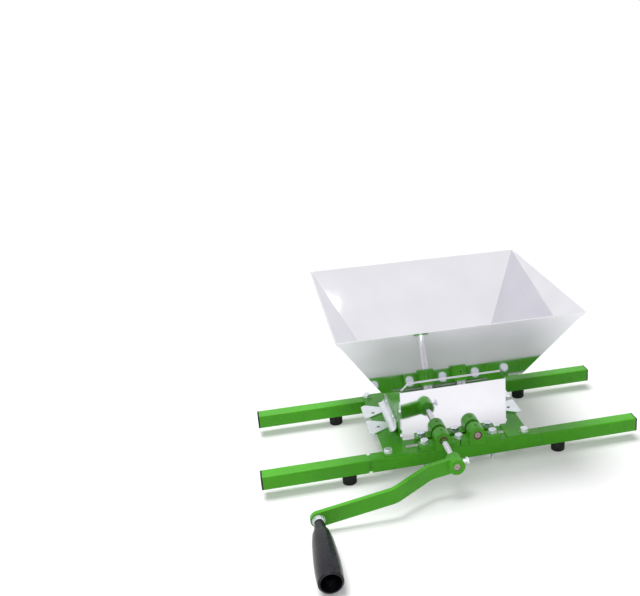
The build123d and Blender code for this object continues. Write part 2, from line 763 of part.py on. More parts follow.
# ================================================================ pillow blocks
def pillow_block(side, end):
    """Cast block: a foot on the rail, a dome round the bush, and a grease hole in its top."""
    x = drive_x if side < 0 else idler_x
    dome_y = end * dome_middle
    foot_y = end * (dome_inner + block_foot_depth / 2)
    inner_end = block_bolt_offset + side * block_split / 2
    outer_end = block_bolt_offset + side * (block_bolt_spacing + block_foot_end)
    with BuildPart() as block:
        with BuildSketch(facing_front(foot_y + block_foot_depth / 2, 0, rail_top)):
            with Locations(((inner_end + outer_end) / 2, block_foot_height / 2)):
                Rectangle(abs(outer_end - inner_end), block_foot_height)
        extrude(amount=block_foot_depth)
        with BuildSketch(facing_front(dome_y + dome_depth / 2, x, axis_height)):
            Circle(dome_diameter / 2)
            with Locations((0, -shaft_rise / 2)):
                Rectangle(dome_diameter, shaft_rise)
        extrude(amount=dome_depth)
        fillet(block.edges().filter_by(GeomType.CIRCLE), dome_edge)
        with BuildSketch(facing_front(dome_y + dome_depth / 2, x, axis_height)):
            Circle(bush_diameter / 2 + bore_clearance)
        extrude(amount=dome_depth, mode=Mode.SUBTRACT)
        with BuildSketch(Plane.XY.offset(rail_top)):
            with Locations(*[(bolt_x, end * rail_y) for bolt_x in block_bolt_rows]):
                Circle(bolt_diameter / 2 + bolt_hole_clearance)
        extrude(amount=block_foot_height, mode=Mode.SUBTRACT)
        with BuildSketch(Plane(origin=(x, dome_y, axis_height))):
            Circle(grease_hole / 2)
        extrude(amount=dome_diameter, mode=Mode.SUBTRACT)
    return block


for end_name, end in (("front", -1), ("rear", 1)):
    for hand, side in (("left", -1), ("right", 1)):
        finish(pillow_block(side, end), f"{end_name}_{hand}_pillow_block")

with BuildPart() as bushes:
    for x in (drive_x, idler_x):
        for near_end in (-dome_inner, dome_outer):
            with BuildSketch(facing_front(near_end - bush_recess, x, axis_height)):
                Circle(bush_diameter / 2)
                Circle(shaft_diameter / 2 + bore_clearance, mode=Mode.SUBTRACT)
            extrude(amount=dome_depth - 2 * bush_recess)
    grease_hole_places = [(x, s * dome_middle) for x in (drive_x, idler_x) for s in (-1, 1)]
    with BuildSketch(Plane.XY.offset(axis_height)):
        with Locations(*grease_hole_places):
            Circle(grease_hole / 2)
    extrude(amount=dome_diameter, mode=Mode.SUBTRACT)
finish(bushes, "bearing_bushes")


def spacers(x):
    """Two rings on a shaft that hold the roller between the pillow blocks."""
    inner_end = roller_length / 2 + spacer_gap
    outer_end = dome_inner - spacer_gap
    with BuildPart() as rings:
        for start in (-inner_end, outer_end):
            with BuildSketch(facing_front(start, x, axis_height)):
                Circle(spacer_diameter / 2)
                Circle(shaft_diameter / 2 + bore_clearance, mode=Mode.SUBTRACT)
            extrude(amount=outer_end - inner_end)
    return rings


finish(spacers(drive_x), "drive_spacers")
finish(spacers(idler_x), "idler_spacers")

block_bolt_places = [(x, s * rail_y) for x in block_bolt_rows for s in (-1, 1)]
washer_bottom = rail_top + block_foot_height
block_bolts = hex_bolts(washer_bottom + washer_thickness, rail_bottom - bolt_tip, block_bolt_places)
finish(block_bolts, "block_bolts")

with BuildPart() as washers:
    for height, places in ((washer_bottom, block_bolt_places), (plate_top, frame_bolt_places)):
        with BuildSketch(Plane.XY.offset(height)):
            with Locations(*places):
                Circle(washer_diameter / 2)
                Circle(bolt_diameter / 2 + screw_clearance, mode=Mode.SUBTRACT)
        extrude(amount=washer_thickness)
finish(washers, "bolt_washers")


# ================================================================ shafts and rollers
gear_start = dome_outer + gear_gap
gear_end = gear_start + gear_width
shaft_back = gear_end + gear_boss_length
roller_pin_rows = [s * (roller_length / 2 - roller_pin_inset) for s in (-1, 1)]


def shaft(x, front):
    """Round shaft with a centre mark in its front end and a hole for each roller pin."""
    with BuildPart() as rod:
        with BuildSketch(facing_front(shaft_back, x, axis_height)):
            Circle(shaft_diameter / 2)
        extrude(amount=shaft_back + front)
        chamfer(rod.edges().filter_by(GeomType.CIRCLE), shaft_chamfer)
        with BuildSketch(facing_front(-front, x, axis_height)):
            Circle(centre_mark / 2)
        extrude(amount=-centre_mark, mode=Mode.SUBTRACT)
        with BuildSketch(Plane.XY.offset(axis_height)):
            with Locations(*[(x, y) for y in roller_pin_rows]):
                Circle(roller_pin_diameter / 2 + bore_clearance)
        extrude(amount=shaft_diameter, both=True, mode=Mode.SUBTRACT)
    return rod


finish(shaft(drive_x, drive_front_reach - shaft_recess), "drive_shaft")
finish(shaft(idler_x, dome_outer - shaft_recess), "idler_shaft")


def roller(x, disc_centres):
    """Solid roller: toothed discs on a core, each disc turned a little from the one before."""
    tooth_corners = (
        (0, roller_tip_diameter),
        (tooth_crest, roller_tip_diameter),
        (tooth_back, roller_root_diameter),
    )
    points = []
    for k in range(roller_teeth):
        for turn, diameter in tooth_corners:
            angle = 2 * pi * (k + turn) / roller_teeth
            points.append((diameter / 2 * cos(angle), diameter / 2 * sin(angle)))
    with BuildPart() as drum:
        with BuildSketch(facing_front(roller_length / 2, x, axis_height)):
            Circle(roller_core_diameter / 2)
        extrude(amount=roller_length)
        for k, centre in enumerate(disc_centres):
            with BuildSketch(facing_front(centre + roller_disc_width / 2, x, axis_height)):
                Polygon(*points, align=None, rotation=k * roller_twist)
            extrude(amount=roller_disc_width)
        with BuildSketch(facing_front(roller_length / 2, x, axis_height)):
            Circle(shaft_diameter / 2 + bore_clearance)
        extrude(amount=roller_length, mode=Mode.SUBTRACT)
        with BuildSketch(Plane.XY.offset(axis_height)):
            with Locations(*[(x, y) for y in roller_pin_rows]):
                Circle(roller_pin_diameter / 2 + bore_clearance)
        extrude(amount=roller_tip_diameter, both=True, mode=Mode.SUBTRACT)
    return drum


disc_rows = int((roller_length - roller_disc_width) / roller_pitch)
drive_discs = [(k - disc_rows / 2) * roller_pitch for k in range(disc_rows + 1)]
idler_discs = [y + roller_pitch / 2 for y in drive_discs[:-1]]
finish(roller(drive_x, drive_discs), "drive_roller")
finish(roller(idler_x, idler_discs), "idler_roller")


def roller_pins(x):
    """Cross pins that hold a roller on its shaft."""
    with BuildPart() as pins:
        with BuildSketch(Plane.XY.offset(axis_height)):
            with Locations(*[(x, y) for y in roller_pin_rows]):
                Circle(roller_pin_diameter / 2)
        extrude(amount=roller_core_diameter / 2 - roller_pin_sink, both=True)
    return pins


finish(roller_pins(drive_x), "drive_roller_pins")
finish(roller_pins(idler_x), "idler_roller_pins")


# ================================================================ gears
gear_boss_middle = gear_end + gear_boss_length / 2
gear_module = shaft_spacing / gear_teeth
pitch_radius = shaft_spacing / 2
base_radius = pitch_radius * cos(radians(gear_pressure_angle))
tip_radius = pitch_radius + gear_module - gear_tip_relief
root_radius = pitch_radius - 1.25 * gear_module


def involute(angle):
    """How far an involute has swept round at the given pressure angle, in radians."""
    return tan(angle) - angle


def flank(radius):
    """Half the tooth's angle at the given radius."""
    half_at_pitch = (pi * gear_module / 2 - gear_backlash / 2) / (2 * pitch_radius)
    pitch_angle = radians(gear_pressure_angle)
    if radius <= base_radius:
        return half_at_pitch + involute(pitch_angle)
    slope = sqrt(radius**2 - base_radius**2) / base_radius
    return half_at_pitch + involute(pitch_angle) - (slope - atan(slope))


def gear(x, turn):
    """Spur gear with involute teeth and a boss, turned by the given angle in degrees."""
    radii = [root_radius, base_radius]
    radii += [base_radius + (tip_radius - base_radius) * k / flank_points for k in range(1, flank_points + 1)]
    outline = []
    for tooth in range(gear_teeth):
        middle = 2 * pi * tooth / gear_teeth + radians(turn)
        rising = [(r, middle - flank(r)) for r in radii]
        falling = [(r, middle + flank(r)) for r in reversed(radii)]
        outline += [(r * cos(a), r * sin(a)) for r, a in rising + falling]
    with BuildPart() as wheel:
        with BuildSketch(facing_front(gear_end, x, axis_height)):
            Polygon(*outline, align=None)
        extrude(amount=gear_width)
        with BuildSketch(facing_front(gear_end + gear_boss_length, x, axis_height)):
            Circle(gear_boss_diameter / 2)
        extrude(amount=gear_boss_length)
        with BuildSketch(facing_front(shaft_back, x, axis_height)):
            Circle(shaft_diameter / 2 + bore_clearance)
        extrude(amount=gear_width + gear_boss_length, mode=Mode.SUBTRACT)
        with BuildSketch(Plane(origin=(x, gear_boss_middle, axis_height))):
            Circle(grub_diameter / 2 + bore_clearance)
        extrude(amount=gear_boss_diameter, mode=Mode.SUBTRACT)
    return wheel


finish(gear(drive_x, 0), "drive_gear")
finish(gear(idler_x, 180 / gear_teeth), "idler_gear")


def grub_screw(x):
    """Grub screw in the gear's boss, with a hexagon socket."""
    bottom = shaft_diameter / 2 + bore_clearance
    top = gear_boss_diameter / 2 - grub_sink
    with BuildPart() as grub:
        with BuildSketch(Plane(origin=(x, gear_boss_middle, axis_height + bottom))):
            Circle(grub_diameter / 2)
        extrude(amount=top - bottom)
        with BuildSketch(Plane(origin=(x, gear_boss_middle, axis_height + top))):
            RegularPolygon(grub_socket / 2, 6)
        extrude(amount=-grub_socket_depth, mode=Mode.SUBTRACT)
    return grub


finish(grub_screw(drive_x), "drive_grub_screw")
finish(grub_screw(idler_x), "idler_grub_screw")


# ================================================================ crank
# The arm hangs to the left of the drive shaft. "along" runs from the shaft to the spindle.
droop = radians(crank_droop)
along = Vector(-cos(droop), 0, -sin(droop))
upright = Vector(-sin(droop), 0, cos(droop))
spindle_x = drive_x + crank_radius * along.X
spindle_z = axis_height + crank_radius * along.Z

with BuildPart() as crank_hub:
    with BuildSketch(facing_front(-drive_front_reach + hub_length, drive_x, axis_height)):
        Circle(hub_diameter / 2)
        Circle(shaft_diameter / 2 + bore_clearance, mode=Mode.SUBTRACT)
    extrude(amount=hub_length)
    rims = crank_hub.edges().filter_by(GeomType.CIRCLE)
    chamfer(rims.filter_by(lambda e: e.radius > shaft_diameter), hub_chamfer)
    with BuildSketch(Plane(origin=(drive_x, arm_root_y, axis_height), x_dir=(0, 1, 0), z_dir=-along)):
        Circle(set_bolt_diameter / 2 + bore_clearance)
    extrude(amount=hub_diameter, mode=Mode.SUBTRACT)
finish(crank_hub, "crank_hub")

with BuildPart() as hub_set_bolt:
    shank_start = shaft_diameter / 2 + bore_clearance
    head_start = hub_diameter / 2 + set_bolt_clear
    bolt_plane = Plane(origin=(drive_x, arm_root_y, axis_height), x_dir=(0, 1, 0), z_dir=-along)
    with BuildSketch(bolt_plane.offset(shank_start)):
        Circle(set_bolt_diameter / 2)
    extrude(amount=head_start - shank_start)
    with BuildSketch(bolt_plane.offset(head_start)):
        RegularPolygon(set_bolt_across / 2 * hex_ratio, 6)
    extrude(amount=set_bolt_head_height)
finish(hub_set_bolt, "hub_set_bolt")

arm_plane = Plane(origin=(drive_x, arm_root_y, axis_height), x_dir=along, z_dir=upright)
arm_length = crank_radius + arm_width / 2
with BuildPart() as crank_arm:
    with BuildSketch(arm_plane.offset(-arm_width / 2)):
        with BuildLine():
            centre_line = FilletPolyline(
                (0, 0),
                (arm_bend_start, 0),
                (arm_bend_end, arm_offset),
                (arm_length, arm_offset),
                radius=arm_bend_radius,
            )
        trace(line_width=arm_thickness)
    extrude(amount=arm_width)
    # rounded end
    with BuildSketch(Plane(origin=(drive_x, 0, axis_height), x_dir=along, z_dir=(0, -1, 0))):
        with Locations((crank_radius, 0)):
            Circle(arm_width / 2)
        with Locations((crank_radius / 2, 0)):
            Rectangle(crank_radius, arm_width)
    extrude(amount=drive_front_reach + arm_offset + arm_thickness, mode=Mode.INTERSECT)
    with BuildSketch(facing_front(-drive_front_reach + hub_length, drive_x, axis_height)):
        Circle(hub_diameter / 2 + weld_gap)
    extrude(amount=hub_length, mode=Mode.SUBTRACT)
    with BuildSketch(facing_front(0, spindle_x, spindle_z)):
        Circle(spindle_diameter / 2 + spindle_hole_clearance)
    extrude(amount=drive_front_reach + arm_offset + arm_thickness, mode=Mode.SUBTRACT)
finish(crank_arm, "crank_arm")

grip_end_y = grip_start_y - grip_length
head_seat_y = grip_end_y + grip_hollow_depth - grip_end_play
arm_back_y = arm_front_y + arm_thickness
spindle_back = arm_back_y + spindle_nut_height + spindle_tip
with BuildPart() as spindle:
    with BuildSketch(facing_front(spindle_back, spindle_x, spindle_z)):
        Circle(spindle_diameter / 2)
    extrude(amount=spindle_back - head_seat_y)
    with BuildSketch(facing_front(head_seat_y, spindle_x, spindle_z)):
        RegularPolygon(spindle_hex_across / 2 * hex_ratio, 6)
    extrude(amount=spindle_head_height)
finish(spindle, "grip_spindle")

with BuildPart() as spindle_nuts:
    for start in (arm_front_y - spindle_washer_thickness, arm_back_y + spindle_nut_height):
        with BuildSketch(facing_front(start, spindle_x, spindle_z)):
            RegularPolygon(spindle_hex_across / 2 * hex_ratio, 6)
            Circle(spindle_diameter / 2 + bore_clearance, mode=Mode.SUBTRACT)
        extrude(amount=spindle_nut_height)
    with BuildSketch(facing_front(arm_front_y, spindle_x, spindle_z)):
        Circle(spindle_washer_diameter / 2)
        Circle(spindle_diameter / 2 + bore_clearance, mode=Mode.SUBTRACT)
    extrude(amount=spindle_washer_thickness)
finish(spindle_nuts, "spindle_nuts")

with BuildPart() as grip:
    grip_plane = Plane(origin=(spindle_x, grip_start_y, spindle_z), x_dir=(1, 0, 0), z_dir=(0, 0, 1))
    with BuildSketch(grip_plane):
        with BuildLine():
            neck = Polyline(
                (spindle_diameter / 2 + grip_bore_clearance, 0),
                (grip_start_diameter / 2, 0),
                (grip_neck_diameter / 2, -grip_neck_length),
                (grip_shoulder_diameter / 2, -grip_shoulder_at),
            )
            body = Spline(
                neck @ 1,
                (grip_middle_diameter / 2, -grip_middle_at),
                (grip_belly_diameter / 2, -grip_belly_at),
                (grip_end_diameter / 2, -grip_length + grip_end_round),
                tangents=[(0.2, -1), (-0.08, -1)],
            )
            Polyline(
                body @ 1,
                (grip_end_diameter / 2 - grip_end_round, -grip_length),
                (grip_hollow_diameter / 2, -grip_length),
                (grip_hollow_diameter / 2, -grip_length + grip_hollow_depth),
                (spindle_diameter / 2 + grip_bore_clearance, -grip_length + grip_hollow_depth),
                neck @ 0,
            )
        make_face()
    revolve(axis=Axis((spindle_x, grip_start_y, spindle_z), (0, 1, 0)))
finish(grip, "grip")
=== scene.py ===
"""Finishes, lights and small details of a hand-cranked apple scratter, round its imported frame.

Lengths are in metres. +Z is up, the crank is at the front (-Y), and the rails run along X.
"""

import math

import bmesh
import bpy
from bpy.props import FloatProperty, FloatVectorProperty, PointerProperty
from mathutils import Matrix, Vector


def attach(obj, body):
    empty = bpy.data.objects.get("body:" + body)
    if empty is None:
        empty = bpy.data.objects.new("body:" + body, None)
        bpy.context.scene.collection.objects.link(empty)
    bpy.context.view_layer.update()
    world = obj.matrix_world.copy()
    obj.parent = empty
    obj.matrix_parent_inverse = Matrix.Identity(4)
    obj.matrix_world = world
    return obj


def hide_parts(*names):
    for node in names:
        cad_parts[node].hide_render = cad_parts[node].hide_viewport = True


bl_info = {
    "name": "Apple Scratter Finishes",
    "version": (1, 0, 0),
    "blender": (4, 5, 0),
    "location": "View3D > Sidebar > Scratter",
    "description": "Finishes, small details and a studio for a hand-cranked apple scratter",
    "category": "Object",
}

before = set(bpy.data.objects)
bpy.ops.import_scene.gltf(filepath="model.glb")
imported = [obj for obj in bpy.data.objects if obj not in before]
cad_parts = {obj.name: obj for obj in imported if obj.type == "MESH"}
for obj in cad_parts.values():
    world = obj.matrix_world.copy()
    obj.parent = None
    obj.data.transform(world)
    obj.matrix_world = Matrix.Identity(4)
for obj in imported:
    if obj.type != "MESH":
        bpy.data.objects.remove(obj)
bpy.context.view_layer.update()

MM = 0.001
UP = Vector((0, 0, 1))
RAIL_ENDS = ("front_left", "front_right", "rear_left", "rear_right")


# ---------------------------------------------------------------- what a user would change
def colour_setting(name, description, default):
    """A colour that the panel shows with a colour picker."""
    return FloatVectorProperty(
        name=name,
        description=description,
        default=default,
        subtype="COLOR",
        size=3,
        min=0.0,
        max=1.0,
    )


def length_setting(name, description, millimetres):
    """A length that the panel shows with its unit."""
    return FloatProperty(
        name=name, description=description, default=millimetres * MM, unit="LENGTH"
    )


def level_setting(name, description, default):
    """A strength that can't go below nothing."""
    return FloatProperty(name=name, description=description, default=default, min=0.0)


class ScratterColours(bpy.types.PropertyGroup):
    """Colours of the finishes."""

    paint: colour_setting(
        "Powder Coat", "Green of the frame, the rails and the crank", (0.072, 0.430, 0.006)
    )
    sheet: colour_setting(
        "Stainless Sheet", "Tint of the hopper and the covers", (0.80, 0.795, 0.84)
    )
    zinc: colour_setting("Zinc", "Tint of the bolts and the ear brackets", (0.78, 0.82, 0.88))
    ground_steel: colour_setting(
        "Ground Steel", "Tint of the shafts, spacers and pins", (0.74, 0.74, 0.76)
    )
    oxide: colour_setting("Brown Oxide", "Colour of the sawn steel ends", (0.21, 0.12, 0.10))
    bronze: colour_setting(
        "Bush Bronze", "Tint of the sintered bearing bushes", (0.15, 0.10, 0.065)
    )
    gear_steel: colour_setting("Gear Steel", "Tint of the two gears", (0.34, 0.34, 0.36))
    aluminium: colour_setting("Cast Aluminium", "Tint of the toothed rollers", (0.66, 0.67, 0.69))
    rubber: colour_setting("Rubber", "Colour of the feet", (0.006, 0.006, 0.006))
    plastic: colour_setting("Cap Plastic", "Colour of the rail end caps", (0.006, 0.006, 0.007))
    grip: colour_setting("Grip Plastic", "Colour of the crank's grip", (0.008, 0.008, 0.013))
    grease: colour_setting(
        "Grease", "Colour of the grease on gears and shafts", (0.11, 0.075, 0.035)
    )


class ScratterSizes(bpy.types.PropertyGroup):
    """Sizes of the small details."""

    edge_round: length_setting("Edge Rounding", "Radius that painted edges seem to have", 0.5)
    edge_wear: length_setting("Edge Wear", "Width of the thin paint along edges", 0.9)
    thread_pitch: length_setting("Thread Pitch", "Pitch of the bolts' threads", 1.25)
    thread_length: length_setting("Thread Length", "Threaded length of the bolts", 25.0)
    weld_radius: length_setting("Weld Bead", "Radius of the bead between arm and hub", 1.7)
    sheet_wave: length_setting("Sheet Waviness", "How far the thin sheet bulges", 0.16)


class ScratterStudio(bpy.types.PropertyGroup):
    """Floor, background and lights."""

    floor: colour_setting("Floor", "Colour of the floor", (0.80, 0.80, 0.80))
    floor_glow: level_setting("Floor Glow", "Extra white that the camera sees on the floor", 0.22)
    sky: level_setting("Soft Light", "Level of the light from all round", 0.27)
    key: level_setting("Key Light", "Level of the light from above", 2.35)
    key_angle: FloatProperty(
        name="Key Softness",
        description="Angle that the key light spans",
        default=math.radians(28),
        subtype="ANGLE",
    )
    panel: level_setting("Panel Light", "Power of the light panel", 5.5)


class ScratterSettings(bpy.types.PropertyGroup):
    """All that the panel shows."""

    colours: PointerProperty(type=ScratterColours)
    sizes: PointerProperty(type=ScratterSizes)
    studio: PointerProperty(type=ScratterStudio)


# ---------------------------------------------------------------- node trees
class NodeTree:
    """A node tree that is put together step by step."""

    def __init__(self, tree):
        self.tree = tree
        tree.nodes.clear()

    def add(self, kind, **options):
        node = self.tree.nodes.new(kind)
        for option, value in options.items():
            setattr(node, option, value)
        return node

    def join(self, source, target):
        self.tree.links.new(source, target)

    def feed(self, socket, value):
        """Give a socket a link or a plain value."""
        if isinstance(value, bpy.types.NodeSocket):
            self.join(value, socket)
        else:
            socket.default_value = value

    def band(self, value, low, high, to_low=0.0, to_high=1.0):
        """Stretch a value's range from low..high to to_low..to_high, clamped."""
        ramp = self.add("ShaderNodeMapRange")
        self.join(value, ramp.inputs["Value"])
        ends = {"From Min": low, "From Max": high, "To Min": to_low, "To Max": to_high}
        for name, number in ends.items():
            ramp.inputs[name].default_value = number
        return ramp.outputs["Result"]

    def times(self, a, b):
        node = self.add("ShaderNodeMath", operation="MULTIPLY")
        self.feed(node.inputs[0], a)
        self.feed(node.inputs[1], b)
        return node.outputs[0]

    def plus(self, a, b):
        """Sum of two values, 1 at most."""
        node = self.add("ShaderNodeMath", operation="ADD", use_clamp=True)
        self.feed(node.inputs[0], a)
        self.feed(node.inputs[1], b)
        return node.outputs[0]

    def looked_at(self):
        """1 where this is looked at, directly, mirrored or through something; 0 where it lights."""
        rays = self.add("ShaderNodeLightPath")
        seen = rays.outputs["Is Camera Ray"]
        for kind in ("Is Glossy Ray", "Is Transmission Ray"):
            seen = self.plus(seen, rays.outputs[kind])
        return seen


class Finish(NodeTree):
    """A material with a principled shader, coloured and roughened by procedural patterns."""

    COMMON = (0.3, 0.7)  # most of a noise's values lie between these
    OPEN_EDGE = (0.95, 0.55)  # occlusion inside the solid: well away from an edge, and at it
    END_FACE = (0.93, 0.98)  # how squarely a face looks along Y: hardly, and enough

    def __init__(self, name, colour):
        self.material = bpy.data.materials.new(name)
        self.material.use_nodes = True
        self.material.diffuse_color = (*colour, 1.0)
        super().__init__(self.material.node_tree)
        self.shader = self.add("ShaderNodeBsdfPrincipled")
        output = self.add("ShaderNodeOutputMaterial")
        self.join(self.shader.outputs["BSDF"], output.inputs["Surface"])
        self.place = self.add("ShaderNodeTexCoord").outputs["Object"]

    def set(self, **values):
        """Set the shader's own sockets; underscores stand for spaces."""
        for name, value in values.items():
            self.feed(self.shader.inputs[name.replace("_", " ")], value)

    def texture(self, kind, location, scale):
        """A texture laid on the object by location and scale."""
        mapping = self.add("ShaderNodeMapping")
        mapping.inputs["Location"].default_value = location
        mapping.inputs["Scale"].default_value = scale
        self.join(self.place, mapping.inputs["Vector"])
        node = self.add(kind)
        node.inputs["Scale"].default_value = 1.0
        self.join(mapping.outputs["Vector"], node.inputs["Vector"])
        return node

    def noise(self, feature, detail=2.0, roughness=0.5, stretch=(1, 1, 1), seed=0.0):
        """Noise from 0 to 1 with features of about the given size."""
        location = (seed, 0.37 * seed, 0.71 * seed)
        node = self.texture("ShaderNodeTexNoise", location, [1 / (feature * s) for s in stretch])
        node.inputs["Detail"].default_value = detail
        node.inputs["Roughness"].default_value = roughness
        return node.outputs["Fac"]

    def crystals(self, feature):
        """Patches of about the given size, each with its own value from 0 to 1."""
        node = self.texture("ShaderNodeTexVoronoi", (0, 0, 0), [1 / feature] * 3)
        parts = self.add("ShaderNodeSeparateColor")
        self.join(node.outputs["Color"], parts.inputs["Color"])
        return parts.outputs[0]

    def spread(self, noise, to_low=0.0, to_high=1.0):
        """Stretch the common part of a noise to to_low..to_high."""
        return self.band(noise, *self.COMMON, to_low, to_high)

    def blend(self, amount, first, second):
        """Colour between first and second."""
        node = self.add("ShaderNodeMix", data_type="RGBA")
        self.feed(node.inputs["Factor"], amount)
        for socket, value in zip([s for s in node.inputs if s.type == "RGBA"], (first, second)):
            self.feed(socket, value if isinstance(value, bpy.types.NodeSocket) else (*value, 1.0))
        return [s for s in node.outputs if s.type == "RGBA"][0]

    def edges(self, width):
        """1 along outer edges, 0 elsewhere."""
        inside = self.add("ShaderNodeAmbientOcclusion", inside=True, only_local=True, samples=6)
        inside.inputs["Distance"].default_value = width
        return self.band(inside.outputs["AO"], *self.OPEN_EDGE)

    def end_faces(self):
        """1 on flat faces across Y, 0 elsewhere."""
        parts = self.add("ShaderNodeSeparateXYZ")
        self.join(self.add("ShaderNodeTexCoord").outputs["Normal"], parts.inputs[0])
        size = self.add("ShaderNodeMath", operation="ABSOLUTE")
        self.join(parts.outputs["Y"], size.inputs[0])
        return self.band(size.outputs[0], *self.END_FACE)

    def relief(self, pattern, depth, edge_radius, strength=1.0):
        """Round the edges off and press a pattern into the surface."""
        rounded = self.add("ShaderNodeBevel", samples=4)
        rounded.inputs["Radius"].default_value = edge_radius
        node = self.add("ShaderNodeBump")
        node.inputs["Strength"].default_value = strength
        node.inputs["Distance"].default_value = depth
        self.join(pattern, node.inputs["Height"])
        self.join(rounded.outputs["Normal"], node.inputs["Normal"])
        self.set(Normal=node.outputs["Normal"])


def shade(colour, factor):
    """A colour made darker or lighter."""
    return [min(1.0, c * factor) for c in colour]


def tint(colour, other, amount):
    """A colour moved towards another."""
    return [a + (b - a) * amount for a, b in zip(colour, other)]


# ---------------------------------------------------------------- finishes
def powder_coat(settings):
    """Glossy green powder coat: slight orange peel, thinner and paler over edges."""
    settled_dust, thin_coat, bare_metal = (0.30, 0.42, 0.20), (0.30, 0.62, 0.18), (0.30, 0.30, 0.30)
    paint = settings.colours.paint
    finish = Finish("green_powder_coat", paint)
    cloud = finish.spread(finish.noise(70 * MM, detail=3))
    body = finish.blend(cloud, shade(paint, 0.90), shade(paint, 1.12))
    dust = finish.noise(2.2 * MM, detail=4, roughness=0.7, seed=3.0)
    dust = finish.band(dust, 0.60, 0.80, 0.0, 0.30)
    body = finish.blend(dust, body, tint(paint, settled_dust, 0.5))
    edge = finish.edges(settings.sizes.edge_wear)
    body = finish.blend(finish.times(edge, 0.55), body, tint(shade(paint, 1.35), thin_coat, 0.45))
    chipped = finish.band(finish.noise(3.5 * MM, detail=5, roughness=0.75, seed=8.0), 0.66, 0.70)
    chip = finish.times(finish.times(edge, chipped), 0.8)
    gloss = finish.spread(finish.noise(30 * MM, seed=5.0), 0.24, 0.36)
    finish.set(
        Base_Color=finish.blend(chip, body, bare_metal),
        Roughness=finish.plus(gloss, finish.times(dust, 0.3)),
        Coat_Weight=0.10,
        Coat_Roughness=0.10,
        IOR=1.32,
    )
    peel = finish.noise(1.6 * MM, detail=1.0, seed=1.0)
    finish.relief(peel, 0.05 * MM, settings.sizes.edge_round, 0.55)
    return finish.material


def polished_sheet(settings):
    """Mirror-polished stainless sheet: a little wavy, with faint rubbing marks."""
    sheet = settings.colours.sheet
    finish = Finish("polished_stainless_sheet", sheet)
    cloud = finish.spread(finish.noise(90 * MM, detail=3))
    body = finish.blend(cloud, shade(sheet, 0.96), shade(sheet, 1.03))
    edge = finish.edges(0.5 * MM)
    smear = finish.noise(45 * MM, detail=5, roughness=0.65, seed=2.0)
    smear = finish.band(smear, 0.45, 0.75, 0.0, 0.06)
    rub = finish.noise(1.0 * MM, detail=2, stretch=(30, 1, 1), seed=6.0)
    rub = finish.band(rub, 0.35, 0.75, 0.035, 0.075)
    finish.set(
        Base_Color=finish.blend(finish.times(edge, 0.5), body, shade(sheet, 1.15)),
        Metallic=1.0,
        Roughness=finish.plus(finish.plus(smear, rub), finish.times(edge, 0.2)),
    )
    wave = finish.noise(95 * MM, detail=1.5, roughness=0.4, seed=4.0)
    finish.relief(wave, settings.sizes.sheet_wave, 0.35 * MM)
    return finish.material


def zinc_plate(settings, name, crystal_size):
    """Bright zinc plating with faint crystals."""
    dull_zinc = (0.62, 0.62, 0.58)
    zinc = settings.colours.zinc
    finish = Finish(name, zinc)
    crystals = finish.crystals(crystal_size)
    cloud = finish.spread(finish.noise(9 * MM, detail=4, roughness=0.6))
    body = finish.blend(finish.times(crystals, 0.45), shade(zinc, 0.92), shade(zinc, 1.18))
    body = finish.blend(finish.times(cloud, 0.35), body, tint(zinc, dull_zinc, 0.7))
    edge = finish.edges(0.6 * MM)
    finish.set(
        Base_Color=finish.blend(finish.times(edge, 0.6), body, shade(zinc, 1.28)),
        Metallic=1.0,
        Roughness=finish.spread(finish.noise(4 * MM, detail=3, seed=2.0), 0.30, 0.46),
    )
    finish.relief(finish.noise(0.8 * MM, detail=3, seed=7.0), 0.02 * MM, 0.3 * MM, 0.6)
    return finish.material


def ground_steel(settings, name, stretch, roughness, oil):
    """Ground steel with fine marks along its turning or drawing direction and a film of oil."""
    steel, oxide = settings.colours.ground_steel, settings.colours.oxide
    finish = Finish(name, steel)
    marks = finish.noise(0.7 * MM, detail=2, stretch=stretch, seed=1.0)
    film = finish.noise(16 * MM, detail=4, roughness=0.6, seed=3.0)
    film = finish.band(film, 0.42, 0.72, 0.0, oil)
    body = finish.blend(finish.spread(marks), shade(steel, 0.88), shade(steel, 1.12))
    edge = finish.edges(0.6 * MM)
    body = finish.blend(finish.times(edge, 0.5), body, shade(steel, 1.35))
    body = finish.blend(film, body, settings.colours.grease)
    sawn = finish.end_faces()
    rust = finish.spread(finish.noise(2.5 * MM, detail=4, roughness=0.65, seed=9.0))
    rusty = finish.blend(rust, oxide, tint(oxide, steel, 0.35))
    finish.set(
        Base_Color=finish.blend(finish.times(sawn, 0.9), body, rusty),
        Metallic=1.0,
        Roughness=finish.plus(finish.spread(marks, *roughness), finish.times(sawn, 0.25)),
    )
    finish.relief(marks, 0.01 * MM, 0.3 * MM, 0.5)
    return finish.material


def bush_bronze(settings):
    """Sintered bronze of the bushes: fine pores, dark with oil."""
    bronze = settings.colours.bronze
    finish = Finish("sintered_bush_bronze", bronze)
    pores = finish.noise(0.5 * MM, detail=3, roughness=0.7)
    oil = finish.band(finish.noise(5 * MM, detail=3, seed=4.0), 0.35, 0.65, 0.0, 0.6)
    body = finish.blend(finish.spread(pores), shade(bronze, 0.7), shade(bronze, 1.15))
    edge = finish.edges(0.4 * MM)
    body = finish.blend(finish.times(edge, 0.6), body, shade(bronze, 1.7))
    finish.set(
        Base_Color=finish.blend(oil, body, shade(settings.colours.grease, 0.6)),
        Metallic=1.0,
        Roughness=finish.band(oil, 0.0, 0.6, 0.46, 0.26),
    )
    finish.relief(pores, 0.03 * MM, 0.2 * MM, 0.6)
    return finish.material


